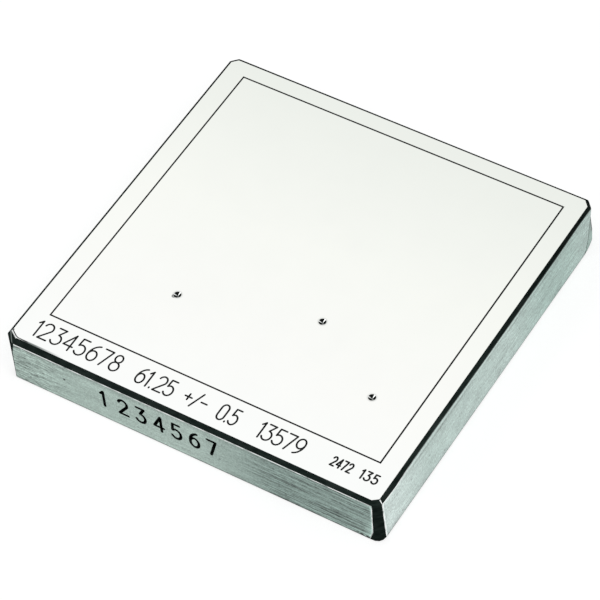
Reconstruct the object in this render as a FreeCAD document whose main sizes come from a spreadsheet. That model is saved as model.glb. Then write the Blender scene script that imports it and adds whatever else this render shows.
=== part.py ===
import FreeCAD, Part
import os
from math import cos, pi, radians, sin, tan

import Sketcher

# Square steel hardness test block, in millimetres.
# Frame: origin at the centre of the base, +Z up to the test face, reading side at -Y.

# Driving dimensions, one cell of the sheet each.
SIZES = {
    # blank
    "block_width": 60.0,  # along X
    "block_depth": 60.0,  # along Y
    "block_thickness": 8.6,  # base to test face
    # edges
    "corner_bevel": 1.2,  # leg of the flat bevel on each upright corner
    "top_chamfer": 0.55,  # leg of the 45 degree chamfer round the test face
    "base_break": 0.2,  # leg of the small edge break round the base
    # border line round the test area, from each side of the block to the line's centre
    "border_left": 3.7,
    "border_right": 3.45,
    "border_front": 6.3,
    "border_back": 3.1,
    "line_width": 0.25,  # across the V at the test face
    "line_depth": 0.1,
    # dents of the proving tests: a cone with a round tip
    "indent_width": 1.1,  # across the mouth
    "indent_angle": 120.0,  # whole angle of the cone
    "indent_tip": 0.2,  # radius of the round tip
    # centres of the dents, from the border line or from the middle of the block
    "left_dent_from_left": 13.6,
    "left_dent_from_front": 11.4,
    "middle_dent_from_centre": 7.45,
    "middle_dent_from_front": 16.85,
    "right_dent_from_right": 6.5,
    "right_dent_from_front": 8.85,
    # how far a cutting section reaches above the test face
    "cut_clearance": 0.3,
}

# Runs of the border line, as distances from the block's centre.
LINE_LEFT = "(Sizes.block_width / 2 - Sizes.border_left)"
LINE_RIGHT = "(Sizes.block_width / 2 - Sizes.border_right)"
LINE_FRONT = "(Sizes.block_depth / 2 - Sizes.border_front)"
LINE_BACK = "(Sizes.block_depth / 2 - Sizes.border_back)"

# X and Y of each dent.
DENTS = {
    "LeftDent": (
        f"Sizes.left_dent_from_left - {LINE_LEFT}",
        f"Sizes.left_dent_from_front - {LINE_FRONT}",
    ),
    "MiddleDent": (
        "Sizes.middle_dent_from_centre",
        f"Sizes.middle_dent_from_front - {LINE_FRONT}",
    ),
    "RightDent": (
        f"{LINE_RIGHT} - Sizes.right_dent_from_right",
        f"Sizes.right_dent_from_front - {LINE_FRONT}",
    ),
}

# Sketch addresses: the two axes, the origin, and the points of a line or an arc.
X_AXIS, Y_AXIS = range(-1, -3, -1)
START, END, CENTRE = range(1, 4)
ORIGIN = (X_AXIS, START)

TOLERANCE = 1e-6

doc = FreeCAD.newDocument("hardness_test_block")


def fill_sheet():
    sheet = doc.addObject("Spreadsheet::Sheet", "Sizes")
    for row, (alias, value) in enumerate(SIZES.items(), start=1):
        sheet.set(f"A{row}", alias)
        sheet.set(f"B{row}", str(value))
        sheet.setAlias(f"B{row}", alias)
    doc.recompute()


def add_sketch(body, name, role):
    sketch = body.newObject("Sketcher::SketchObject", name)
    planes = {feature.Role: feature for feature in body.Origin.OriginFeatures}
    sketch.AttachmentSupport = [(planes[role], "")]
    sketch.MapMode = "FlatFace"
    return sketch


def add_line(sketch, start, end):
    line = Part.LineSegment(FreeCAD.Vector(*start, 0), FreeCAD.Vector(*end, 0))
    return sketch.addGeometry(line, False)


def add_polygon(sketch, points):
    """Closed run of straight lines, each joined to the next."""
    ends = points[1:] + points[:1]
    lines = [add_line(sketch, start, end) for start, end in zip(points, ends)]
    for line, after in zip(lines, lines[1:] + lines[:1]):
        tie(sketch, "Coincident", line, END, after, START)
    return lines


def tie(sketch, kind, *places):
    sketch.addConstraint(Sketcher.Constraint(kind, *places))


def drive(sketch, kind, places, name, expression):
    """Add a named constraint whose value comes from the sheet."""
    value = sketch.evalExpression(expression)
    index = sketch.addConstraint(Sketcher.Constraint(kind, *places, value))
    sketch.renameConstraint(index, name)
    sketch.setExpression(f"Constraints.{name}", expression)


def pad_blank(body):
    """The square blank, ground to its thickness."""
    outline = add_sketch(body, "BlankOutline", "XY_Plane")
    x = SIZES["block_width"] / 2
    y = SIZES["block_depth"] / 2
    front, right, back, left = add_polygon(outline, [(-x, -y), (x, -y), (x, y), (-x, y)])
    tie(outline, "Horizontal", front)
    tie(outline, "Horizontal", back)
    tie(outline, "Vertical", right)
    tie(outline, "Vertical", left)
    tie(outline, "Symmetric", front, START, back, START, *ORIGIN)
    drive(outline, "DistanceX", (front, START, front, END), "Width", "Sizes.block_width")
    drive(outline, "DistanceY", (right, START, right, END), "Depth", "Sizes.block_depth")
    blank = body.newObject("PartDesign::Pad", "Blank")
    blank.Profile = outline
    blank.setExpression("Length", "Sizes.block_thickness")
    doc.recompute()
    return blank


def edges_where(shape, wanted):
    """Names of the edges that pass the test, which is given their lowest and highest point."""
    names = []
    for number, edge in enumerate(shape.Edges, start=1):
        heights = [vertex.Z for vertex in edge.Vertexes]
        if wanted(min(heights), max(heights)):
            names.append(f"Edge{number}")
    return names


def bevel(body, name, base, edges, size):
    chamfer = body.newObject("PartDesign::Chamfer", name)
    chamfer.Base = (base, edges)
    chamfer.setExpression("Size", f"Sizes.{size}")
    doc.recompute()
    return chamfer


def bevel_edges(body, blank):
    """Flat upright corners first, so that the chamfer and the edge break run round them."""
    top = SIZES["block_thickness"]
    upright = edges_where(blank.Shape, lambda low, high: high - low > TOLERANCE)
    corners = bevel(body, "CornerBevels", blank, upright, "corner_bevel")
    rim = edges_where(corners.Shape, lambda low, high: low > top - TOLERANCE)
    topped = bevel(body, "TopChamfer", corners, rim, "top_chamfer")
    foot = edges_where(topped.Shape, lambda low, high: high < TOLERANCE)
    return bevel(body, "BaseBreak", topped, foot, "base_break")


def draw_border_path(body):
    """Rectangle on the test face. It starts in the middle of its front run."""
    left = SIZES["block_width"] / 2 - SIZES["border_left"]
    right = SIZES["block_width"] / 2 - SIZES["border_right"]
    front = SIZES["block_depth"] / 2 - SIZES["border_front"]
    back = SIZES["block_depth"] / 2 - SIZES["border_back"]
    path = add_sketch(body, "BorderPath", "XY_Plane")
    path.setExpression("AttachmentOffset.Base.z", "Sizes.block_thickness")
    points = [(0, -front), (right, -front), (right, back), (-left, back), (-left, -front)]
    first_run, right_run, back_run, left_run, last_run = add_polygon(path, points)
    tie(path, "Horizontal", first_run)
    tie(path, "Vertical", right_run)
    tie(path, "Horizontal", back_run)
    tie(path, "Vertical", left_run)
    tie(path, "Horizontal", last_run)
    tie(path, "PointOnObject", first_run, START, Y_AXIS)
    drive(path, "DistanceX", (*ORIGIN, right_run, START), "RightLine", LINE_RIGHT)
    drive(path, "DistanceX", (left_run, START, *ORIGIN), "LeftLine", LINE_LEFT)
    drive(path, "DistanceY", (first_run, START, *ORIGIN), "FrontLine", LINE_FRONT)
    drive(path, "DistanceY", (*ORIGIN, back_run, START), "BackLine", LINE_BACK)
    return path


def draw_line_section(body):
    """Section of the pointed cutter, across the front run. X here is the block's Y."""
    middle = SIZES["border_front"] - SIZES["block_depth"] / 2
    half = SIZES["line_width"] / 2
    surface = SIZES["block_thickness"]
    bottom = surface - SIZES["line_depth"]
    above = surface + SIZES["cut_clearance"]
    section = add_sketch(body, "LineSection", "YZ_Plane")
    points = [
        (middle, bottom),
        (middle + half, surface),
        (middle + half, above),
        (middle - half, above),
        (middle - half, surface),
    ]
    flank, inner_side, lid, outer_side, other_flank = add_polygon(section, points)
    tie(section, "Vertical", inner_side)
    tie(section, "Horizontal", lid)
    tie(section, "Vertical", outer_side)
    tie(section, "Horizontal", flank, END, outer_side, END)
    tie(section, "Equal", flank, other_flank)
    drive(section, "DistanceX", (flank, START, *ORIGIN), "FrontLine", LINE_FRONT)
    drive(section, "DistanceX", (lid, END, lid, START), "LineWidth", "Sizes.line_width")
    drive(section, "DistanceY", (flank, START, flank, END), "LineDepth", "Sizes.line_depth")
    drive(section, "DistanceY", (*ORIGIN, flank, END), "TestFace", "Sizes.block_thickness")
    drive(section, "DistanceY", (inner_side, START, inner_side, END), "Above", "Sizes.cut_clearance")
    return section


def cut_border_line(body):
    """V groove round the test area, mitred at its corners."""
    path = draw_border_path(body)
    section = draw_line_section(body)
    doc.recompute()
    line = body.newObject("PartDesign::SubtractivePipe", "BorderLine")
    line.Profile = section
    line.Spine = (path, [])
    line.Transition = "Right corner"
    doc.recompute()
    return line


def press_dent(body, name, x_place, y_place):
    """Dent of a round-tipped cone, turned about its own upright axis."""
    section = add_sketch(body, f"{name}Section", "XZ_Plane")
    section.setExpression("AttachmentOffset.Base.x", x_place)
    section.setExpression("AttachmentOffset.Base.y", "Sizes.block_thickness")
    section.setExpression("AttachmentOffset.Base.z", f"-({y_place})")

    # From the dent's own centre: X outwards, Y up, with the test face at Y = 0.
    slope = radians(90 - SIZES["indent_angle"] / 2)
    radius = SIZES["indent_tip"]
    mouth = SIZES["indent_width"] / 2
    above = SIZES["cut_clearance"]
    meet_x = radius * sin(slope)
    meet_y = (meet_x - mouth) * tan(slope)
    centre_y = meet_y + radius * cos(slope)
    circle = Part.Circle(FreeCAD.Vector(0, centre_y, 0), FreeCAD.Vector(0, 0, 1), radius)
    tip = section.addGeometry(Part.ArcOfCircle(circle, -pi / 2, slope - pi / 2), False)
    flank = add_line(section, (meet_x, meet_y), (mouth, 0))
    wall = add_line(section, (mouth, 0), (mouth, above))
    lid = add_line(section, (mouth, above), (0, above))
    axis = add_line(section, (0, above), (0, centre_y - radius))

    tie(section, "PointOnObject", tip, CENTRE, Y_AXIS)
    tie(section, "Tangent", tip, END, flank, START)
    tie(section, "Coincident", flank, END, wall, START)
    tie(section, "Coincident", wall, END, lid, START)
    tie(section, "Coincident", lid, END, axis, START)
    tie(section, "Coincident", axis, END, tip, START)
    tie(section, "PointOnObject", flank, END, X_AXIS)
    tie(section, "Vertical", wall)
    tie(section, "Horizontal", lid)
    tie(section, "PointOnObject", lid, END, Y_AXIS)
    tie(section, "Vertical", axis)
    drive(section, "Radius", (tip,), "TipRadius", "Sizes.indent_tip")
    drive(section, "Angle", (flank,), "Slope", "(90 - Sizes.indent_angle / 2) * 1 deg")
    drive(section, "DistanceX", (*ORIGIN, flank, END), "HalfMouth", "Sizes.indent_width / 2")
    drive(section, "DistanceY", (wall, START, wall, END), "Above", "Sizes.cut_clearance")
    doc.recompute()

    dent = body.newObject("PartDesign::Groove", name)
    dent.Profile = section
    dent.ReferenceAxis = (section, ["V_Axis"])
    doc.recompute()
    return dent


def check_model(body, features):
    for item in doc.Objects:
        if {"Invalid", "Error"} & set(item.State):
            raise RuntimeError(f"{item.Name} failed: {item.State}")
    if body.Shape.isNull() or not body.Shape.isValid() or len(body.Shape.Solids) != 1:
        raise RuntimeError(f"{body.Label} isn't one valid solid")
    for before, after in zip(features, features[1:]):
        if after.Shape.Volume >= before.Shape.Volume:
            raise RuntimeError(f"{after.Name} removes nothing")


fill_sheet()
block = doc.addObject("PartDesign::Body", "TestBlock")
block.Label = "test_block"
steps = [pad_blank(block)]
steps.append(bevel_edges(block, steps[-1]))
steps.append(cut_border_line(block))
for dent_name, (dent_x, dent_y) in DENTS.items():
    steps.append(press_dent(block, dent_name, dent_x, dent_y))
block.Placement = FreeCAD.Placement()
doc.recompute()
check_model(block, steps)

os.makedirs("parts", exist_ok=True)
block.Shape.exportStep(f"parts/{block.Label}.step")
bounds = block.Shape.BoundBox
print(f"{block.Label}: {block.Shape.Volume:.1f} mm3")
print(f"{bounds.XLength:.2f} x {bounds.YLength:.2f} x {bounds.ZLength:.2f} mm")
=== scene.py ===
import math

import bmesh
import bpy
from mathutils import Matrix, Vector
from mathutils.geometry import delaunay_2d_cdt


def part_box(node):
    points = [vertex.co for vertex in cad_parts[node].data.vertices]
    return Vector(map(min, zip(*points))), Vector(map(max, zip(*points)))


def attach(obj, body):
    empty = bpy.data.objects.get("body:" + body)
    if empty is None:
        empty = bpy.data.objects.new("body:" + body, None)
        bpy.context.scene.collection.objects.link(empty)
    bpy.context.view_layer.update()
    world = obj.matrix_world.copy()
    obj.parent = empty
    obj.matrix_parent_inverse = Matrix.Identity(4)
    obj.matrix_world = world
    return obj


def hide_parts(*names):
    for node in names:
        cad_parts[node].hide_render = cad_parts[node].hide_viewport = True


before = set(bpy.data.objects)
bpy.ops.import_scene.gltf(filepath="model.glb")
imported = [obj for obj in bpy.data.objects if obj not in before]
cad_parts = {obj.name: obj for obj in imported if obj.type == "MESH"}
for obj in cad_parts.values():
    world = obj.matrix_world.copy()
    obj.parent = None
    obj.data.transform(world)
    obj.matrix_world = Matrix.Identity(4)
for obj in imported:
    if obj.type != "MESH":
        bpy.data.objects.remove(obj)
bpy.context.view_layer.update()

# Lengths below are in millimetres unless a name says otherwise, and METRE turns them into metres.
METRE = 0.001

block_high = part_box("test_block")[1]
HALF_WIDTH = block_high.x / METRE
HALF_DEPTH = block_high.y / METRE
TOP = block_high.z / METRE

# Each upright bevel, going round anticlockwise from the front left: the corner, its legs on the side
# before it and on the side after it with how far its middle bulges, at the top, at a height between
# and at the base, that height, and the edge break round the base. The chamfer round the test face goes
# in by inset and down by drop, on the side before, on the bevel and on the side after.
CORNERS = (
    {
        "at": (-HALF_WIDTH, -HALF_DEPTH),
        "top": (1.05, 1.55, 0.0), "waist": (1.08, 1.13, 0.0), "base": (1.1, 1.0, 0.0), "waist_at": 5.7,
        "break": 0.14, "inset": (0.51, 0.62, 0.58), "drop": (0.5, 0.75, 0.89),
    },
    {
        "at": (HALF_WIDTH, -HALF_DEPTH),
        "top": (1.2, 0.9, 0.0), "waist": (1.28, 1.25, 0.12), "base": (1.82, 1.4, 0.6), "waist_at": 2.0,
        "break": 0.14, "inset": (0.44, 0.46, 0.5), "drop": (0.73, 0.62, 0.56),
    },
    {
        "at": (HALF_WIDTH, HALF_DEPTH),
        "top": (1.25, 1.15, 0.0), "waist": (2.2, 0.5, 0.03), "base": (3.1, 0.48, 0.1), "waist_at": 2.3,
        "break": 0.14, "inset": (0.45, 0.46, 0.5), "drop": (0.34, 0.3, 0.42),
    },
    {
        "at": (-HALF_WIDTH, HALF_DEPTH),
        "top": (1.0, 1.0, 0.0), "waist": (1.05, 1.05, 0.0), "base": (1.1, 1.1, 0.0), "waist_at": 4.0,
        "break": 0.14, "inset": (0.52, 0.58, 0.46), "drop": (0.4, 0.4, 0.42),
    },
)
CORNER_POINTS = 5
# The right chamfer's lower edge was ground unevenly: places along Y, and how much further down it lies there.
RIGHT_WAVE = (
    (-27.6, 0.18), (-25.4, 0.28), (-23.2, 0.04), (-20.5, -0.16), (-15.5, -0.16), (-8.5, 0.0), (-2.0, 0.12),
    (5.0, 0.15), (12.0, 0.08), (19.0, 0.07), (24.8, -0.11),
)
EDGE_ROUNDING = 0.07
EDGE_SEGMENTS = 3
MERGE = 1e-4

# The border line, in the same places as in the solid.
BORDER_LOW = (-HALF_WIDTH + 3.7, -HALF_DEPTH + 6.3)
BORDER_HIGH = (HALF_WIDTH - 3.45, HALF_DEPTH - 3.1)
BORDER_STROKE = 0.25
BORDER_GROOVE = 0.1

# The engraved figures in front of the border, and the number stamped in the front side.
TEXT_STROKE = 0.27
TEXT_GROOVE = 0.1
STAMP_STROKE = 0.48
STAMP_GROOVE = 0.13

# A thin black-filled line inside the chamfer at the front left corner, the dark half of a double line there.
LAND_LINE = (
    (-29.33, -28.2), (-29.3, -28.42), (-28.41, -29.04), (-28.0, -29.2), (-27.2, -29.23), (-26.4, -29.25),
)
LAND_STROKE = 0.15
LAND_GROOVE = 0.03

# The dents that proving tests left: cones of 120 degrees with a round tip.
DENTS = ((-12.7, -12.3), (7.45, -6.85), (20.05, -14.85))
DENT_RADIUS = 0.55
DENT_TIP = 0.2
DENT_SLOPE = math.radians(30)
DENT_RINGS = (1.0, 0.86, 0.7, 0.5, 0.34, 0.2, 0.1)
DENT_AROUND = 40
# Reach of the ring of painted shade round a dent, in radii of the dent.
DENT_SHADE_RING = 1.5
# A small chip beside the left dent, and a deep pit in the front side.
DENT_CHIP = (-13.04, -12.74, TOP)
SIDE_PIT = (-20.3, -HALF_DEPTH, 4.85)

# The rounding of an edge gets another finish within these distances of a corner.
CORNER_REACH = 1.6
BEVEL_REACH = 1.2
LAND_REACH = 9.0

# Name of the numbers that tell the parts of the surface from one another.
PART = "surface_part"

# Materials of the block's faces, in the order of its material slots. DARK is a painted dark reflection, GLINT
# and SIDE_RIM carry painted glints, LAND a painted highlight, FACET and RIM are darker copies of GROUND as
# painted shade, and DENT is a painted reflection.
LAPPED, GROUND, DARK, GLINT, FILL, DENT, STAMP, FACET, RIM, LAND, SIDE_RIM = range(11)

BLACK = (0.0, 0.0, 0.0)
WHITE = (1.0, 1.0, 1.0)


# Figures, drawn with single strokes in a box one unit high.

def arc(centre, radii, start, end, steps=14):
    """Points along part of an ellipse, from one angle in degrees to another."""
    points = []
    for step in range(steps + 1):
        angle = math.radians(start + (end - start) * step / steps)
        points.append((centre[0] + radii[0] * math.cos(angle), centre[1] + radii[1] * math.sin(angle)))
    return points


def ring(centre, radii, steps=28):
    """Points round a whole ellipse, with the first one not repeated."""
    return arc(centre, radii, 0, 360, steps)[:-1]


# Each figure: its width, its open strokes and its closed strokes.
FIGURES = {
    "0": (0.52, [], [arc((0.26, 0.74), (0.26, 0.26), 0, 180) + arc((0.26, 0.26), (0.26, 0.26), 180, 360)]),
    "1": (0.2, [[(0.0, 0.82), (0.08, 0.9), (0.17, 1.0)], [(0.17, 1.0), (0.17, 0.0)]], []),
    "2": (0.54, [arc((0.27, 0.73), (0.26, 0.27), 165, -35), [(0.48, 0.58), (0.0, 0.0)],
                 [(0.0, 0.0), (0.54, 0.0)]], []),
    "3": (0.54, [[(0.05, 1.0), (0.5, 1.0)], [(0.5, 1.0), (0.24, 0.6)],
                 arc((0.24, 0.3), (0.29, 0.3), 90, -155)], []),
    "4": (0.56, [[(0.42, 0.0), (0.42, 1.0)], [(0.42, 1.0), (0.0, 0.28)], [(0.0, 0.28), (0.56, 0.28)]], []),
    "5": (0.54, [[(0.48, 1.0), (0.08, 1.0)], [(0.08, 1.0), (0.05, 0.56)],
                 arc((0.24, 0.32), (0.29, 0.32), 132, -150)], []),
    "6": (0.54, [arc((0.56, 0.34), (0.55, 0.66), 102, 178)], [ring((0.27, 0.31), (0.26, 0.31))]),
    "7": (0.5, [[(0.0, 1.0), (0.5, 1.0)], [(0.5, 1.0), (0.16, 0.0)]], []),
    "8": (0.52, [], [ring((0.26, 0.77), (0.21, 0.23)), ring((0.26, 0.27), (0.26, 0.27))]),
    "9": (0.54, [arc((-0.02, 0.66), (0.55, 0.66), -78, -2)], [ring((0.27, 0.69), (0.26, 0.31))]),
    ".": (0.2, [[(0.1, 0.0), (0.1, 0.05)]], []),
    "+": (0.4, [[(0.0, 0.5), (0.4, 0.5)], [(0.2, 0.3), (0.2, 0.7)]], []),
    "-": (0.34, [[(0.0, 0.5), (0.34, 0.5)]], []),
    "/": (0.36, [[(0.0, 0.0), (0.36, 1.0)]], []),
    " ": (0.3, [], []),
}


def figure_strokes(text, left, base, height, right, stretch=1.0):
    """Strokes of a row of figures whose ink runs from left to right, evenly spaced."""
    widths = [FIGURES[letter][0] * height * stretch for letter in text]
    gap = (right - left - sum(widths)) / max(len(text) - 1, 1)
    strokes = []
    x = left
    for letter, width in zip(text, widths):
        for closed, outlines in ((False, FIGURES[letter][1]), (True, FIGURES[letter][2])):
            for outline in outlines:
                points = [(x + px * height * stretch, base + py * height) for px, py in outline]
                strokes.append((points, closed))
        x += width + gap
    return strokes


# Grooves and dents cut into a flat face.

class Planar:
    """A flat face that is cut up by grooves and dents before it goes back into the block."""

    def __init__(self, boundary):
        self.points = [Vector(point) for point in boundary]
        self.faces = [list(range(len(boundary)))]
        self.kinds = [None]
        self.centrelines = []
        self.dents = []

    def add_point(self, point):
        self.points.append(Vector(point))
        return len(self.points) - 1

    def add_face(self, corners, kind):
        self.faces.append(corners)
        self.kinds.append(kind)

    def add_stroke(self, points, closed, width, depth, kind):
        """A groove of V section along a line, with round ends where the line is open."""
        half = width / 2
        line = [Vector(point) for point in points]
        count = len(line)
        left, middle, right = [], [], []
        for index, point in enumerate(line):
            before = line[index - 1] if index or closed else None
            after = line[(index + 1) % count] if index < count - 1 or closed else None
            into = (point - before).normalized() if before is not None else (after - point).normalized()
            out = (after - point).normalized() if after is not None else into
            normal_in, normal_out = Vector((-into.y, into.x)), Vector((-out.y, out.x))
            mitre = (normal_in + normal_out) / (1 + normal_in.dot(normal_out)) * half
            left.append(self.add_point(point + mitre))
            middle.append(self.add_point(point))
            right.append(self.add_point(point - mitre))
        for index in range(count if closed else count - 1):
            after = (index + 1) % count
            self.add_face([left[index], middle[index], middle[after], left[after]], kind)
            self.add_face([middle[index], right[index], right[after], middle[after]], kind)
        if not closed:
            self.add_cap(line[0], line[0] - line[1], middle[0], left[0], right[0], half, kind)
            self.add_cap(line[-1], line[-1] - line[-2], middle[-1], right[-1], left[-1], half, kind)
        ends = line + line[:1] if closed else line
        self.centrelines.append((ends, half, depth))

    def add_cap(self, centre, outward, middle, first, last, half, kind, steps=4):
        """The round end of a groove, from its first flank to its last."""
        facing = math.atan2(outward.y, outward.x)
        previous = first
        for step in range(1, steps + 1):
            index = last
            if step < steps:
                angle = facing - math.pi / 2 + math.pi * step / steps
                index = self.add_point(centre + half * Vector((math.cos(angle), math.sin(angle))))
            self.add_face([middle, previous, index], kind)
            previous = index

    def add_dent(self, centre, kind):
        """A round cone pit as rings of points."""
        centre = Vector(centre)
        outer = None
        middle = self.add_point(centre)
        for share in DENT_RINGS:
            circle = []
            for step in range(DENT_AROUND):
                angle = 2 * math.pi * step / DENT_AROUND
                offset = Vector((math.cos(angle), math.sin(angle))) * DENT_RADIUS * share
                circle.append(self.add_point(centre + offset))
            if outer:
                for step in range(DENT_AROUND):
                    after = (step + 1) % DENT_AROUND
                    self.add_face([outer[step], outer[after], circle[after], circle[step]], kind)
            outer = circle
        for step in range(DENT_AROUND):
            self.add_face([outer[step], outer[(step + 1) % DENT_AROUND], middle], kind)
        self.dents.append(centre)

    def depth_at(self, point):
        """How far a point of the face lies below its plane."""
        depth = 0.0
        for centre in self.dents:
            depth = max(depth, dent_depth((point - centre).length))
        for line, half, full in self.centrelines:
            for start, end in zip(line, line[1:]):
                if min(start.x, end.x) - half > point.x or max(start.x, end.x) + half < point.x:
                    continue
                along = end - start
                share = max(0.0, min(1.0, (point - start).dot(along) / along.length_squared))
                away = (point - start - along * share).length
                depth = max(depth, full * (1 - away / half))
        return depth

    def triangles(self):
        """Corner points and faces of the cut face, each with the kinds of groove that cover it."""
        result = delaunay_2d_cdt(self.points, [], self.faces, 1, MERGE)
        places, faces, origins, owners = result[0], result[2], result[3], result[5]
        return places, faces, origins, [max((self.kinds[i] or 0) for i in owner) for owner in owners]


def dent_depth(radius):
    """Depth of a dent at a distance from its middle."""
    touch = DENT_TIP * math.sin(DENT_SLOPE)
    full = (DENT_RADIUS - touch) * math.tan(DENT_SLOPE) + DENT_TIP * (1 - math.cos(DENT_SLOPE))
    if radius >= DENT_RADIUS:
        return 0.0
    if radius > touch:
        return (DENT_RADIUS - radius) * math.tan(DENT_SLOPE)
    return full - DENT_TIP + math.sqrt(DENT_TIP ** 2 - radius ** 2)


def cut_face(model, face, along, up, material, cuts):
    """Replaces one flat face by its cut-up form. along and up are the face's own directions."""
    normal = face.normal.copy()
    boundary = list(face.verts)
    origin = boundary[0].co.copy()
    planar = Planar([((v.co - origin).dot(along), (v.co - origin).dot(up)) for v in boundary])
    shift = Vector((-origin.dot(along), -origin.dot(up)))
    for points, closed, width, depth, kind in cuts["strokes"]:
        planar.add_stroke([Vector(point) + shift for point in points], closed, width, depth, kind)
    for centre in cuts["dents"]:
        planar.add_dent(Vector(centre) + shift, DENT)
    places, faces, origins, kinds = planar.triangles()
    vertices = []
    for place, origin_list in zip(places, origins):
        known = [index for index in origin_list if index < len(boundary)]
        if known:
            vertices.append(boundary[known[0]])
            continue
        depth = planar.depth_at(place)
        vertices.append(model.verts.new(origin + along * place.x + up * place.y - normal * depth))
    bmesh.ops.delete(model, geom=[face], context="FACES_ONLY")
    for corners, kind in zip(faces, kinds):
        made = model.faces.new([vertices[index] for index in corners])
        made.material_index = kind or material
        made.smooth = kind == DENT
        made.normal_update()
        if made.normal.dot(normal) < 0:
            made.normal_flip()


# The block.

def outline(level):
    """The points of the block's outline at one level, a few at each corner."""
    points = []
    ways = ((0, -1, 1, 0), (1, 0, 0, 1), (0, 1, -1, 0), (-1, 0, 0, -1))
    for corner, (in_x, in_y, out_x, out_y) in zip(CORNERS, ways):
        x, y = corner["at"]
        before, after, bulge = corner[level]
        start = Vector((x - in_x * before, y - in_y * before))
        end = Vector((x + out_x * after, y + out_y * after))
        outward = Vector((in_x - out_x, in_y - out_y)).normalized()
        for step in range(CORNER_POINTS):
            share = step / (CORNER_POINTS - 1)
            points.append(start.lerp(end, share) + outward * bulge * 4 * share * (1 - share))
    return points


def inset(points, distances):
    """The outline moved inwards. Each point has the distances of the edge before it and the edge after it."""
    moved = []
    count = len(points)
    for index, point in enumerate(points):
        into = (point - points[index - 1]).normalized()
        out = (points[(index + 1) % count] - point).normalized()
        normal_in, normal_out = Vector((-into.y, into.x)), Vector((-out.y, out.x))
        before, after = distances[index]
        turn = normal_in.x * normal_out.y - normal_in.y * normal_out.x
        if abs(turn) < 0.01:
            moved.append(point + normal_out * after)
            continue
        move_x = (before * normal_out.y - after * normal_in.y) / turn
        move_y = (after * normal_in.x - before * normal_out.x) / turn
        moved.append(point + Vector((move_x, move_y)))
    return moved


def block_shell(model):
    """The block's outer faces, each with the number of the part of the surface that it belongs to."""
    insets, drops, breaks, waists = [], [], [], []
    for corner in CORNERS:
        before, middle, after = corner["inset"]
        inner = CORNER_POINTS - 2
        insets += [(before, middle)] + [(middle, middle)] * inner + [(middle, after)]
        drops += [corner["drop"][0]] + [corner["drop"][1]] * inner + [corner["drop"][2]]
        breaks += [corner["break"]] * CORNER_POINTS
        waists += [corner["waist_at"]] * CORNER_POINTS
    upper, waist, lower = outline("top"), outline("waist"), outline("base")
    levels = (
        [(point.x, point.y, 0.0) for point in inset(lower, [(gap, gap) for gap in breaks])],
        [(point.x, point.y, gap) for point, gap in zip(lower, breaks)],
        [(point.x, point.y, height) for point, height in zip(waist, waists)],
        [(point.x, point.y, TOP - drop) for point, drop in zip(upper, drops)],
        [(point.x, point.y, TOP) for point in inset(upper, insets)],
    )
    foot, lower, waist, upper, top = [[model.verts.new(place) for place in level] for level in levels]
    parts = model.faces.layers.int.new(PART)

    def add(vertices, material, part):
        face = model.faces.new(vertices)
        face.material_index = material
        face[parts] = part

    count = len(lower)
    # The right side runs from this point of the outline to the next one.
    right = 2 * CORNER_POINTS - 1
    below, above = [], []
    for y, deeper in RIGHT_WAVE:
        share = (y - upper[right].co.y) / (upper[right + 1].co.y - upper[right].co.y)
        place = upper[right].co.lerp(upper[right + 1].co, share)
        below.append(model.verts.new(place - Vector((0, 0, deeper))))
        above.append(model.verts.new(top[right].co.lerp(top[right + 1].co, share)))
    add(list(reversed(foot)), GROUND, 0)
    add(top[:right + 1] + above + top[right + 1:], LAPPED, 1)
    for index in range(count):
        after = (index + 1) % count
        corner, step = divmod(index, CORNER_POINTS)
        side = step == CORNER_POINTS - 1
        group = 10 * (2 * corner + side + 1)
        # The edge break round the base takes RIM, a darker copy of the ground finish: painted shade at the
        # foot.
        add((foot[index], foot[after], lower[after], lower[index]), RIM, group)
        lows, highs = [upper[index], upper[after]], [top[index], top[after]]
        if index == right:
            lows[1:1], highs[1:1] = below, above
        for first in range(len(lows) - 1):
            add((lows[first], lows[first + 1], highs[first + 1], highs[first]), DARK, group + 1)
        if side:
            add((lower[index], lower[after], waist[after], *reversed(lows), waist[index]), GROUND, group + 2)
            continue
        # Front bevels take DARK, a painted dark reflection; back bevels take FACET, a darker copy of the
        # ground finish as painted shade, and the far bevel's outer upper part RIM, darker still, as painted
        # shade.
        finish = DARK if corner < 2 else FACET
        add((lower[index], lower[after], waist[after], waist[index]), finish, group + 2)
        outer = corner == 2 and step == CORNER_POINTS - 2
        add((waist[index], waist[after], upper[after], upper[index]), RIM if outer else finish, group + 2)


def edge_material(face):
    """The finish of the narrow rounding at an edge, by where it is: a painted glint, a painted dark
    reflection, a painted highlight or painted shade.
    """
    place = face.calc_center_median()
    from_front, from_back = HALF_DEPTH + place.y, HALF_DEPTH - place.y
    from_left, from_right = HALF_WIDTH + place.x, HALF_WIDTH - place.x
    at_front_corner = from_front < CORNER_REACH and from_right < CORNER_REACH
    if place.z > TOP - 0.12:
        return LAND if from_front < CORNER_REACH and from_left < LAND_REACH else DARK
    if place.z < 0.4:
        return DARK if at_front_corner else RIM
    if place.z > TOP - 1.0:
        if at_front_corner and from_right < 0.5 and 0.9 < from_front < 1.3:
            return GLINT
        if from_front < 0.2 and from_left > CORNER_REACH and from_right > BEVEL_REACH:
            return GLINT
        if from_right < 0.2 and from_front > BEVEL_REACH and from_back > BEVEL_REACH:
            return SIDE_RIM
        return DARK
    if place.x > 0 and place.y < 0:
        return DARK if abs(from_front - from_right) < 0.5 else GLINT
    return DARK


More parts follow.
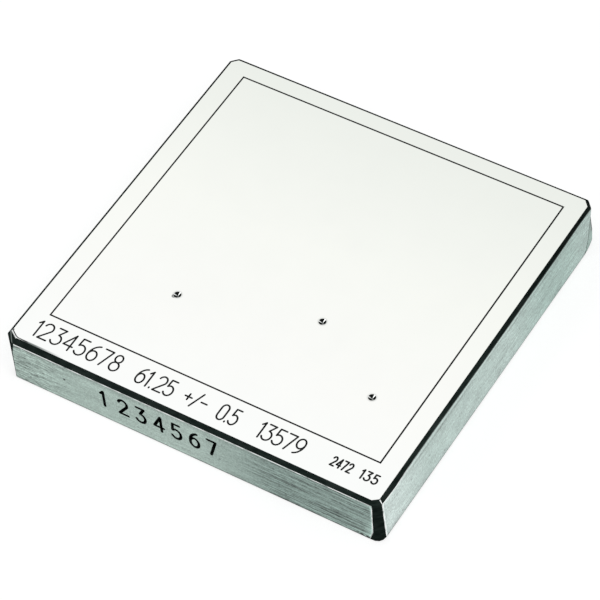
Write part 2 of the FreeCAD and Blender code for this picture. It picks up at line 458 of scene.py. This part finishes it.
def round_edges(model):
    """Rounds each edge between two parts of the surface a little, and gives each rounding its finish."""
    parts = model.faces.layers.int[PART]
    edges = []
    for edge in model.edges:
        first, second = edge.link_faces
        if first[parts] != second[parts]:
            edges.append(edge)
    bmesh.ops.bevel(model, geom=edges, offset=EDGE_ROUNDING, offset_type="OFFSET",
                    segments=EDGE_SEGMENTS, profile=0.5, affect="EDGES", clamp_overlap=True, material=GLINT)
    model.normal_update()
    rounded = {face for face in model.faces if face.material_index == GLINT}
    for face in model.faces:
        face.smooth = True
    for face in rounded:
        for edge in face.edges:
            if any(other not in rounded for other in edge.link_faces):
                edge.smooth = False
    for face in rounded:
        face.material_index = edge_material(face)
    model.faces.layers.int.remove(parts)


def top_cuts():
    """Everything that is cut into the test face."""
    low, high = BORDER_LOW, BORDER_HIGH
    corners = [low, (high[0], low[1]), high, (low[0], high[1])]
    strokes = [(corners, True, BORDER_STROKE, BORDER_GROOVE, FILL)]
    strokes.append((LAND_LINE, False, LAND_STROKE, LAND_GROOVE, FILL))
    rows = (
        ("12345678", -26.8, -12.9, -27.85, 2.8, 0.93),
        ("61.25", -9.95, -4.1, -27.9, 2.65, 0.85),
        ("+/-", -2.3, 1.15, -27.9, 2.65, 1.0),
        ("0.5", 3.2, 6.15, -27.9, 2.65, 0.76),
        ("13579", 9.5, 16.4, -27.9, 2.65, 0.88),
        ("2472", 20.75, 23.75, -27.15, 1.5, 0.68),
        ("135", 25.2, 27.75, -27.15, 1.5, 0.9),
    )
    for text, left, right, base, height, stretch in rows:
        for points, closed in figure_strokes(text, left, base, height, right, stretch):
            strokes.append((points, closed, TEXT_STROKE, TEXT_GROOVE, FILL))
    return {"strokes": strokes, "dents": DENTS}


def front_cuts():
    """The number stamped in the front side."""
    strokes = []
    pitch, first, base, height, stretch = 2.885, -14.25, 3.0, 3.1, 0.85
    for index, letter in enumerate("1234567"):
        left = first + pitch * index
        right = left + FIGURES[letter][0] * height * stretch
        for points, closed in figure_strokes(letter, left, base, height, right, stretch):
            strokes.append((points, closed, STAMP_STROKE, STAMP_GROOVE, STAMP))
    return {"strokes": strokes, "dents": ()}


def build_block():
    """The whole block as one closed mesh, in metres."""
    model = bmesh.new()
    block_shell(model)
    model.normal_update()
    round_edges(model)
    top = max(model.faces, key=lambda face: face.normal.z * face.calc_area())
    front = max(model.faces, key=lambda face: -face.normal.y * face.calc_area())
    cut_face(model, top, Vector((1, 0, 0)), Vector((0, 1, 0)), LAPPED, top_cuts())
    cut_face(model, front, Vector((1, 0, 0)), Vector((0, 0, 1)), GROUND, front_cuts())
    bmesh.ops.scale(model, vec=(METRE, METRE, METRE), verts=model.verts)
    model.normal_update()
    mesh = bpy.data.meshes.new("steel_block")
    model.to_mesh(mesh)
    model.free()
    return mesh


# Materials. Places, lengths and heights that their nodes compare with are in metres, as Blender gives them.

class Nodes:
    """Short ways to add and join the nodes of one material."""

    def __init__(self, name):
        self.material = bpy.data.materials.new(name)
        self.material.use_nodes = True
        self.tree = self.material.node_tree
        self.shader = self.tree.nodes["Principled BSDF"]

    def add(self, kind, settings=None, **values):
        """One node with its settings. Each value is a number, or the socket that gives it."""
        node = self.tree.nodes.new(kind)
        for name, value in (settings or {}).items():
            setattr(node, name, value)
        for name, value in values.items():
            key = name.replace("_", " ")
            if isinstance(value, bpy.types.NodeSocket):
                self.tree.links.new(value, node.inputs[key])
            else:
                node.inputs[key].default_value = value
        return node

    def join(self, source, target):
        self.tree.links.new(source, target)

    def place(self, scale):
        """The block's own coordinates in metres, stretched along each axis."""
        coordinates = self.add("ShaderNodeTexCoord")
        mapping = self.add("ShaderNodeMapping", Vector=coordinates.outputs["Object"])
        mapping.inputs["Scale"].default_value = scale
        return mapping.outputs["Vector"]

    def noise(self, scale, detail=2.0, roughness=0.5, stretch=(1, 1, 1)):
        """Cloudy noise from 0 to 1, with about scale times stretch patches to the metre along each axis."""
        vector = self.place(tuple(scale * part for part in stretch))
        node = self.add("ShaderNodeTexNoise", Vector=vector, Scale=1.0, Detail=detail, Roughness=roughness)
        return node.outputs["Fac"]

    def curve(self, value, low, high, to_low, to_high):
        """A value's stretch from low to high turned into the one from to_low to to_high, held at its ends."""
        node = self.add("ShaderNodeMapRange", Value=value)
        for name, number in (("From Min", low), ("From Max", high), ("To Min", to_low), ("To Max", to_high)):
            node.inputs[name].default_value = number
        return node.outputs["Result"]

    def math(self, operation, first, second=0.0):
        node = self.add("ShaderNodeMath", {"operation": operation})
        for socket, value in zip(node.inputs, (first, second)):
            if isinstance(value, bpy.types.NodeSocket):
                self.join(value, socket)
            else:
                socket.default_value = value
        return node.outputs["Value"]

    def near(self, value, middle, reach, amount):
        """The amount where a value is at the middle of a band, less towards the band's edges."""
        away = self.math("ABSOLUTE", self.math("SUBTRACT", value, middle))
        return self.curve(away, 0.0, reach, amount, 0.0)

    def total(self, first, *others):
        """All the values added up."""
        for other in others:
            first = self.math("ADD", first, other)
        return first

    def product(self, first, *others):
        """All the values multiplied."""
        for other in others:
            first = self.math("MULTIPLY", first, other)
        return first

    def ramp(self, value, stops):
        """A colour that runs through the stops, each a position and a colour."""
        node = self.add("ShaderNodeValToRGB", Fac=value)
        elements = node.color_ramp.elements
        while len(elements) < len(stops):
            elements.new(0.5)
        for element, (position, colour) in zip(elements, stops):
            element.position = position
            element.color = (*colour, 1.0)
        return node.outputs["Color"]

    def mix(self, share, first, second, blend="MIX"):
        """The first colour, with a share of the second one blended over it."""
        node = self.add("ShaderNodeMix", {"data_type": "RGBA", "blend_type": blend})
        for socket, value in zip((node.inputs[0], node.inputs[6], node.inputs[7]), (share, first, second)):
            if isinstance(value, bpy.types.NodeSocket):
                self.join(value, socket)
            elif isinstance(value, tuple):
                socket.default_value = (*value, 1.0)
            else:
                socket.default_value = value
        return node.outputs[2]

    def axis(self, name):
        """The surface's place along one axis of the block."""
        coordinates = self.add("ShaderNodeTexCoord")
        parts = self.add("ShaderNodeSeparateXYZ", Vector=coordinates.outputs["Object"])
        return parts.outputs[name]

    def distance(self, place):
        """How far the surface is from a place that is given in millimetres."""
        surface = self.add("ShaderNodeTexCoord").outputs["Object"]
        node = self.add("ShaderNodeVectorMath", {"operation": "DISTANCE"}, Vector=surface)
        node.inputs[1].default_value = tuple(METRE * part for part in place)
        return node.outputs["Value"]

    def facing(self, name):
        """One part of the surface's direction in the block's own frame."""
        coordinates = self.add("ShaderNodeTexCoord")
        parts = self.add("ShaderNodeSeparateXYZ", Vector=coordinates.outputs["Normal"])
        return parts.outputs[name]

    def bump(self, height, strength, distance):
        node = self.add("ShaderNodeBump", Height=height, Strength=strength, Distance=distance)
        self.join(node.outputs["Normal"], self.shader.inputs["Normal"])

    def finish(self, metallic, colour, roughness):
        """Sets the shader's main inputs and gives the material back."""
        self.shader.inputs["Metallic"].default_value = metallic
        self.join(colour, self.shader.inputs["Base Color"])
        if isinstance(roughness, bpy.types.NodeSocket):
            self.join(roughness, self.shader.inputs["Roughness"])
        else:
            self.shader.inputs["Roughness"].default_value = roughness
        return self.material


def lapped_steel():
    """The test face: near mirror, with a painted reflection that makes it duller to the back, painted shade
    round the dents, a chip and a darker strip by the front left edge.
    """
    nodes = Nodes("lapped_test_face")
    # Painted reflection: the face's colour gets duller towards the back.
    backward = nodes.curve(nodes.axis("Y"), -0.0286, 0.03, 0.0, 1.0)
    tone = nodes.ramp(backward, (
        (0.0, (0.972, 0.985, 0.972)),
        (0.2, (0.97, 0.975, 0.95)),
        (0.55, (0.94, 0.955, 0.91)),
        (1.0, (0.84, 0.868, 0.82)),
    ))
    cloud = nodes.curve(nodes.noise(160.0, 3.0, 0.6), 0.35, 0.75, 0.0, 0.035)
    tone = nodes.mix(cloud, tone, (0.6, 0.63, 0.61))
    fine = nodes.noise(9000.0, 2.0, 0.6, (1, 0.06, 1))
    roughness = nodes.curve(fine, 0.3, 0.7, 0.05, 0.1)
    nodes.bump(fine, 0.02, 0.00002)
    # Painted shade: a duller ring round each dent.
    for x, y in DENTS:
        from_dent = nodes.distance((x, y, TOP))
        dent_shade = nodes.curve(from_dent, DENT_RADIUS * METRE, DENT_SHADE_RING * DENT_RADIUS * METRE, 0.42, 0.0)
        tone = nodes.mix(dent_shade, tone, (0.35, 0.37, 0.36))
    chip = nodes.ramp(nodes.math("DIVIDE", nodes.distance(DENT_CHIP), METRE), (
        (0.0, (0.3, 0.3, 0.3)),
        (0.08, (0.4, 0.4, 0.4)),
        (0.16, (0.85, 0.85, 0.85)),
        (0.25, (0.8, 0.8, 0.8)),
        (0.36, BLACK),
    ))
    tone = nodes.mix(chip, tone, (0.1, 0.11, 0.105))
    # A darker strip along the front edge near the left corner.
    along = nodes.axis("X")
    front_left_dark_strip = nodes.product(
        nodes.curve(along, -0.0278, -0.0268, 0.0, 1.0),
        nodes.curve(along, -0.025, -0.0205, 1.0, 0.0),
        nodes.curve(nodes.axis("Y"), -0.02905, -0.0292, 0.0, 1.0),
    )
    tone = nodes.mix(front_left_dark_strip, tone, (0.2, 0.225, 0.215))
    return nodes.finish(1.0, tone, roughness)


def ground_tone_and_reflection(nodes, front, side):
    """Even tones of the ground sides with painted reflection in them: the right one lighter than the front,
    the front one darker to the right, the right one duller to the back.
    """
    x, y = nodes.axis("X"), nodes.axis("Y")
    from_left = nodes.curve(x, -0.028, -0.004, 0.0, 1.0)
    front_tone = nodes.mix(from_left, (0.34, 0.43, 0.39), (0.385, 0.475, 0.435))
    front_tone = nodes.mix(nodes.curve(x, 0.0003, 0.0135, 0.0, 1.0), front_tone, (0.22, 0.293, 0.267))
    from_front = nodes.curve(y, -0.029, -0.017, 0.0, 1.0)
    side_tone = nodes.mix(from_front, (0.64, 0.73, 0.705), (0.48, 0.585, 0.55))
    side_tone = nodes.mix(nodes.curve(y, 0.005, 0.015, 0.0, 1.0), side_tone, (0.38, 0.5, 0.46))
    side_tone = nodes.mix(nodes.curve(y, 0.022, 0.028, 0.0, 0.5), side_tone, (0.48, 0.58, 0.55))
    tone = nodes.mix(front, (0.4, 0.47, 0.44), front_tone)
    return nodes.mix(side, tone, side_tone)


def ground_grain(nodes, fine, front, side):
    """Level marks of the wheel, coarser at both ends of the front side and at the back of the right one."""
    x, y = nodes.axis("X"), nodes.axis("Y")
    grain = nodes.noise(1.0, 3.0, 0.7, (240, 240, 5200))
    long_lines = nodes.noise(1.0, 2.0, 0.5, (90, 90, 7500))
    mottle = nodes.noise(1.0, 3.0, 0.7, (620, 620, 3800))
    left_part = nodes.product(nodes.curve(x, -0.018, -0.025, 0.0, 1.0), front)
    right_part = nodes.product(nodes.curve(x, 0.007, 0.014, 0.0, 1.0), front)
    back_part = nodes.product(nodes.curve(y, -0.006, 0.003, 0.0, 0.22), side)
    coarse = nodes.total(nodes.product(nodes.total(left_part, right_part), 0.6), back_part)
    lines = nodes.total(nodes.curve(fine, 0.36, 0.64, -0.5, 0.5), nodes.curve(grain, 0.36, 0.64, -0.55, 0.45))
    lines = nodes.product(lines, nodes.curve(coarse, 0.0, 1.0, 0.2, 0.9))
    straight = nodes.product(nodes.curve(long_lines, 0.4, 0.6, -0.4, 0.3), right_part)
    blotches = nodes.product(nodes.curve(mottle, 0.38, 0.62, -0.4, 0.36), left_part)
    return nodes.total(lines, straight, blotches)


def front_light_and_shade(nodes):
    """Painted light and shade on the front side: painted shade under the chamfer and at the foot, lighter
    strips above the foot and below the chamfer, and a painted glint with lighter haze beside the right-hand
    bevel and along the top at the right end.
    """
    x, z = nodes.axis("X"), nodes.axis("Z")
    leftward = nodes.curve(x, 0.002, 0.01, 1.0, 0.2)
    under_chamfer = nodes.product(nodes.curve(z, 0.0067, 0.0078, 0.0, -0.24), leftward)
    upper_strip = nodes.product(nodes.near(z, 0.0065, 0.001, 0.08), leftward)
    foot_strip = nodes.product(nodes.near(z, 0.0005, 0.0005, 0.14), leftward)
    foot_line = nodes.curve(z, 0.0002, 0.0005, -0.7, 0.0)
    bevel_edge = nodes.curve(z, 0.00014, 0.002, 0.02822, 0.02876)
    from_bevel = nodes.math("SUBTRACT", bevel_edge, x)
    bright_strip = nodes.near(from_bevel, 0.0001, 0.00022, 1.1)
    low_haze = nodes.near(from_bevel, 0.0, 0.0014, 0.8)
    low_haze = nodes.product(low_haze, nodes.curve(z, 0.0025, 0.0045, 1.0, 0.0))
    top_haze = nodes.near(z, 0.0076, 0.0005, 0.8)
    top_haze = nodes.product(top_haze, nodes.curve(x, 0.0245, 0.028, 0.0, 1.0))
    return nodes.total(under_chamfer, upper_strip, foot_strip, foot_line, bright_strip, low_haze, top_haze)


def side_strips_and_shade(nodes):
    """Lighter and darker strips of the right side: lighter and darker lines under the chamfer, painted shade
    at the foot and low at the front end, and a painted glint with painted shade beside it along the front
    bevel.
    """
    y, z = nodes.axis("Y"), nodes.axis("Z")
    light_line = nodes.near(z, 0.0077, 0.0003, 0.12)
    wobble = nodes.curve(nodes.noise(90.0), 0.3, 0.7, -0.00012, 0.00012)
    dark_line = nodes.product(
        nodes.near(nodes.total(z, wobble), 0.00722, 0.00042, -0.6),
        nodes.curve(nodes.noise(420.0), 0.4, 0.6, 0.45, 1.0),
        nodes.curve(y, -0.025, -0.0215, 0.0, 1.0),
        nodes.curve(y, -0.01, -0.004, 0.85, 0.5),
    )
    lifted = nodes.math("SUBTRACT", z, nodes.curve(y, 0.012, 0.027, 0.0, 0.00042))
    thin_line = nodes.near(lifted, 0.0075, 0.00015, -0.4)
    thin_line = nodes.product(thin_line, nodes.curve(y, 0.008, 0.014, 0.0, 1.0))
    foot_line = nodes.curve(z, 0.00012, 0.0005, -0.6, 0.0)
    end_haze = nodes.curve(z, 0.0006, 0.0018, -0.14, 0.0)
    end_haze = nodes.product(end_haze, nodes.curve(y, -0.018, -0.012, 1.0, 0.0))
    from_edge = nodes.math("SUBTRACT", y, nodes.curve(z, 0.0, 0.008, -0.02862, -0.02909))
    glint_strip = nodes.near(from_edge, 0.00008, 0.00014, 0.75)
    dull_strip = nodes.near(from_edge, 0.00048, 0.00026, -0.13)
    return nodes.total(light_line, dark_line, thin_line, foot_line, end_haze, glint_strip, dull_strip)


def ground_steel(name, shade_tint=WHITE):
    """The sides: ground along their length, with fine level grain, painted light and shade in strips, small
    pits and chips.
    """
    nodes = Nodes(name)
    front = nodes.curve(nodes.facing("Y"), -0.9, -0.95, 0.0, 1.0)
    side = nodes.curve(nodes.facing("X"), 0.9, 0.95, 0.0, 1.0)
    fine = nodes.noise(1.0, 2.0, 0.6, (800, 800, 8000))
    specks = nodes.curve(nodes.noise(3200.0, 2.0, 0.6), 0.35, 0.65, -0.17, 0.17)
    patches = nodes.curve(nodes.noise(1.0, 3.0, 0.6, (200, 200, 380)), 0.3, 0.7, -0.11, 0.11)
    # Painted shade: the far bevel on the right is darker above its foot, where it turns away.
    far_bevel_shade = nodes.near(nodes.facing("Y"), 0.48, 0.18, -0.95)
    far_bevel_shade = nodes.product(far_bevel_shade, nodes.curve(nodes.axis("Z"), 0.0022, 0.0034, 0.0, 1.0))
    level = nodes.total(
        specks, patches, 1.0, ground_grain(nodes, fine, front, side),
        nodes.product(front_light_and_shade(nodes), front), nodes.product(side_strips_and_shade(nodes), side), far_bevel_shade,
    )
    colour = nodes.mix(1.0, ground_tone_and_reflection(nodes, front, side), level, "MULTIPLY")
    # The bevel and rim copies are darkened by their shade tint: painted shade.
    colour = nodes.mix(1.0, colour, shade_tint, "MULTIPLY")
    spread = nodes.place((420, 420, 620))
    spots = nodes.add("ShaderNodeTexVoronoi", {"feature": "F1"}, Vector=spread, Scale=1.0)
    pits = nodes.curve(spots.outputs["Distance"], 0.045, 0.1, 0.6, 0.0)
    chips = nodes.product(
        nodes.curve(nodes.noise(1700.0, 2.0, 0.5), 0.42, 0.47, 0.0, 1.0),
        nodes.curve(nodes.axis("X"), 0.0255, 0.0265, 0.0, 1.0),
        nodes.curve(nodes.axis("Z"), 0.0005, 0.0008, 1.0, 0.0),
        front,
    )
    deep_pit = nodes.curve(nodes.distance(SIDE_PIT), 0.00014, 0.00024, 1.0, 0.0)
    marks = nodes.math("MAXIMUM", nodes.math("MAXIMUM", pits, chips), deep_pit)
    colour = nodes.mix(marks, colour, (0.025, 0.03, 0.028))
    nodes.bump(fine, 0.25, 0.00003)
    return nodes.finish(1.0, colour, nodes.curve(fine, 0.3, 0.7, 0.34, 0.5))


def dark_reflection():
    """The chamfers and front bevels: a painted dark reflection in black, darker to the back, with level marks
    and a painted highlight along a line at the front left corner.
    """
    nodes = Nodes("dark_bevel")
    x, y, z = nodes.axis("X"), nodes.axis("Y"), nodes.axis("Z")
    grain = nodes.noise(1.0, 3.0, 0.6, (700, 700, 2600))
    cloud = nodes.noise(350.0, 2.0, 0.5)
    colour = nodes.mix(nodes.curve(grain, 0.35, 0.7, 0.0, 1.0), (0.009, 0.015, 0.013), (0.023, 0.034, 0.03))
    colour = nodes.mix(nodes.curve(cloud, 0.48, 0.72, 0.0, 0.35), colour, (0.045, 0.056, 0.052))
    # Painted dark reflection, darker still towards the back.
    colour = nodes.mix(nodes.curve(y, -0.005, 0.018, 0.0, 0.5), colour, BLACK)
    across = nodes.total(nodes.product(x, 0.813), nodes.product(y, 0.582))
    # A painted highlight along a thin line at the front left corner.
    corner_highlight = nodes.product(nodes.near(across, -0.04072, 0.0001, 1.0), nodes.curve(z, 0.0076, 0.0077, 0.0, 1.0))
    colour = nodes.mix(corner_highlight, colour, (0.3, 0.34, 0.32))
    # With no specular reflection the dark reflection stays in the colour alone.
    nodes.shader.inputs["Specular IOR Level"].default_value = 0.0
    nodes.bump(grain, 0.2, 0.00003)
    return nodes.finish(0.0, colour, nodes.curve(cloud, 0.3, 0.7, 0.25, 0.4))


def land_highlight():
    """The narrow land beside the chamfer at the front left corner: a painted highlight, light grey near the
    corner only.
    """
    nodes = Nodes("land_highlight")
    share = nodes.curve(nodes.distance((-29.0, -29.3, TOP)), 0.0007, 0.002, 0.0, 1.0)
    colour = nodes.mix(share, (0.75, 0.78, 0.76), (0.36, 0.4, 0.38))
    nodes.shader.inputs["Specular IOR Level"].default_value = 0.03
    return nodes.finish(0.0, colour, 0.35)


def bright_edge():
    """The rounding of the front edges with a painted glint: bright in most places and less so left of the
    front bevel.
    """
    nodes = Nodes("bright_edge_glint")
    x = nodes.axis("X")
    glint_noise = nodes.noise(700.0, 3.0, 0.6)
    at_left = nodes.curve(x, -0.025, -0.021, 1.0, 0.0)
    share = nodes.math("MAXIMUM", nodes.curve(glint_noise, 0.3, 0.55, 0.0, 1.0), at_left)
    left_of_bevel = nodes.curve(x, 0.0291, 0.0295, 1.0, 0.0)
    glint_fade = nodes.product(left_of_bevel, nodes.curve(nodes.axis("Z"), 0.001, 0.003, 0.7, 0.2))
    share = nodes.product(share, nodes.math("SUBTRACT", 1.0, glint_fade))
    colour = nodes.mix(share, (0.2, 0.24, 0.225), (0.95, 0.97, 0.96))
    return nodes.finish(1.0, colour, nodes.curve(glint_noise, 0.3, 0.7, 0.3, 0.12))


def side_rim_glint():
    """The chamfer's lower edge along the right side: a painted glint at its front end, dull further back."""
    nodes = Nodes("side_rim_glint")
    backward = nodes.curve(nodes.axis("Y"), -0.026, -0.02, 1.0, 0.0)
    share = nodes.product(nodes.curve(nodes.noise(900.0, 3.0, 0.6), 0.3, 0.5, 0.4, 1.0), backward)
    colour = nodes.mix(share, (0.09, 0.105, 0.1), (0.93, 0.95, 0.94))
    return nodes.finish(1.0, colour, 0.3)


def engraving_fill():
    """Black filling of the engraved line and figures."""
    nodes = Nodes("engraving_fill")
    cloud = nodes.noise(2500.0, 2.0, 0.6)
    colour = nodes.mix(nodes.curve(cloud, 0.35, 0.7, 0.0, 1.0), (0.006, 0.007, 0.007), (0.02, 0.022, 0.021))
    nodes.shader.inputs["Specular IOR Level"].default_value = 0.1
    return nodes.finish(0.0, colour, 0.6)


def stamped_steel():
    """The floor of the stamped figures: dark, with brighter flecks."""
    nodes = Nodes("stamped_figure")
    cloud = nodes.noise(1500.0, 2.0, 0.6)
    flecks = nodes.curve(cloud, 0.45, 0.75, 0.0, 1.0)
    colour = nodes.mix(flecks, (0.001, 0.0015, 0.0014), (0.012, 0.016, 0.015))
    nodes.shader.inputs["Specular IOR Level"].default_value = 0.0
    return nodes.finish(0.0, colour, 0.45)


def dent_reflection():
    """The dents: a painted reflection, bright and dark walls by the way that they face, as a small mirror
    cone shows them.
    """
    nodes = Nodes("dent_wall")
    across, along = nodes.facing("X"), nodes.facing("Y")
    turned = math.radians(43)
    ahead = nodes.total(nodes.product(across, math.sin(turned)), nodes.product(along, -math.cos(turned)))
    sideways = nodes.total(nodes.product(across, math.cos(turned)), nodes.product(along, math.sin(turned)))
    turn = nodes.math("ARCTAN2", nodes.math("ABSOLUTE", sideways), ahead)
    share = nodes.math("DIVIDE", turn, math.pi)
    dark, grey, bright = (0.008, 0.01, 0.009), (0.4, 0.42, 0.41), (0.82, 0.84, 0.82)
    colour = nodes.ramp(share, (
        (0.0, dark), (0.24, dark), (0.28, bright), (0.36, bright), (0.41, dark), (0.79, dark), (0.97, grey),
    ))
    nodes.shader.inputs["Specular IOR Level"].default_value = 0.0
    shiny = nodes.ramp(share, ((0.24, BLACK), (0.27, WHITE), (0.37, WHITE), (0.41, BLACK)))
    nodes.join(shiny, nodes.shader.inputs["Metallic"])
    return nodes.finish(0.0, colour, 0.15)


# The scene.

def add_object(name, mesh):
    piece = bpy.data.objects.new(name, mesh)
    bpy.context.scene.collection.objects.link(piece)
    return piece


mesh = build_block()
block = add_object("steel_block", mesh)
for finish in (
    lapped_steel(),
    ground_steel("ground_side"),
    dark_reflection(),
    bright_edge(),
    engraving_fill(),
    dent_reflection(),
    stamped_steel(),
    # Darker copies of the ground sides for the back bevels and the rims: painted shade.
    ground_steel("ground_bevel_shaded", (0.63, 0.74, 0.7)),
    ground_steel("ground_rim_shaded", (0.2, 0.2, 0.2)),
    land_highlight(),
    side_rim_glint(),
):
    mesh.materials.append(finish)
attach(block, "root")
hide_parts("test_block")


def seen_directly(tree):
    """1 for rays from the camera and for rays that metal or glass sends on, otherwise 0."""
    path = tree.nodes.new("ShaderNodeLightPath")
    total = path.outputs["Is Camera Ray"]
    for name in ("Is Glossy Ray", "Is Transmission Ray"):
        node = tree.nodes.new("ShaderNodeMath")
        node.operation = "MAXIMUM"
        tree.links.new(total, node.inputs[0])
        tree.links.new(path.outputs[name], node.inputs[1])
        total = node.outputs["Value"]
    return total


def pale_world():
    """White where it is seen, and a soft even light on everything else."""
    world = bpy.data.worlds.new("studio")
    world.use_nodes = True
    tree = world.node_tree
    background = tree.nodes["Background"]
    background.inputs["Color"].default_value = (1.0, 1.0, 1.0, 1.0)
    level = tree.nodes.new("ShaderNodeMapRange")
    level.inputs["To Min"].default_value = 0.5
    level.inputs["To Max"].default_value = 1.0
    tree.links.new(seen_directly(tree), level.inputs["Value"])
    tree.links.new(level.outputs["Result"], background.inputs["Strength"])
    bpy.context.scene.world = world


def pale_floor():
    """A wide floor at the block's base, white where it is lit fully, that keeps a faint shadow."""
    half = 3.0
    corners = [(-half, -half, 0), (half, -half, 0), (half, half, 0), (-half, half, 0)]
    mesh = bpy.data.meshes.new("studio_floor")
    mesh.from_pydata(corners, [], [(0, 1, 2, 3)])
    floor = add_object("studio_floor", mesh)
    material = bpy.data.materials.new("pale_floor")
    material.use_nodes = True
    tree = material.node_tree
    shader = tree.nodes["Principled BSDF"]
    shader.inputs["Base Color"].default_value = (0.45, 0.45, 0.45, 1.0)
    shader.inputs["Roughness"].default_value = 0.9
    shader.inputs["Specular IOR Level"].default_value = 0.0
    shader.inputs["Emission Color"].default_value = (1.0, 1.0, 1.0, 1.0)
    glow = tree.nodes.new("ShaderNodeMath")
    glow.operation = "MULTIPLY"
    glow.inputs[1].default_value = 0.68
    tree.links.new(seen_directly(tree), glow.inputs[0])
    tree.links.new(glow.outputs["Value"], shader.inputs["Emission Strength"])
    mesh.materials.append(material)


def soft_lamp(name, place, size, power):
    """A square soft lamp aimed at the block."""
    data = bpy.data.lights.new(name, "AREA")
    data.size = size
    data.energy = power
    lamp = add_object(name, data)
    lamp.location = place
    lamp.rotation_euler = (-Vector(place)).to_track_quat("-Z", "Y").to_euler()


def photo_camera():
    """A long lens in front of the block's right-hand front corner, slightly rolled."""
    azimuth, height, roll = math.radians(35.653), math.radians(50.648), math.radians(-5.643)
    distance, shift_right, shift_up = 468.92, -0.809, 0.978
    focal_pixels, frame_pixels, sensor = 3331.4, 600.0, 36.0
    level = Vector((math.cos(azimuth), math.sin(azimuth), 0.0))
    towards = Vector((math.sin(azimuth), -math.cos(azimuth), 0.0))
    back = towards * math.cos(height) + Vector((0.0, 0.0, math.sin(height)))
    upright = back.cross(level)
    right = math.cos(roll) * level + math.sin(roll) * upright
    up = math.cos(roll) * upright - math.sin(roll) * level
    place = (back * distance + right * shift_right + up * shift_up) * METRE
    data = bpy.data.cameras.new("photo_camera")
    data.sensor_width = sensor
    data.sensor_fit = "HORIZONTAL"
    data.lens = sensor * focal_pixels / frame_pixels
    data.clip_start = 0.01
    data.clip_end = 20.0
    camera = add_object("photo_camera", data)
    turned = Matrix((right, up, back)).transposed().to_4x4()
    camera.matrix_world = Matrix.Translation(place) @ turned
    bpy.context.scene.camera = camera


pale_world()
pale_floor()
soft_lamp("key_lamp", (0.35, -0.2, 0.65), 0.5, 1.6)
soft_lamp("fill_lamp", (-0.5, -0.25, 0.5), 0.5, 0.8)
photo_camera()

view = bpy.context.scene.view_settings
view.view_transform = "Standard"
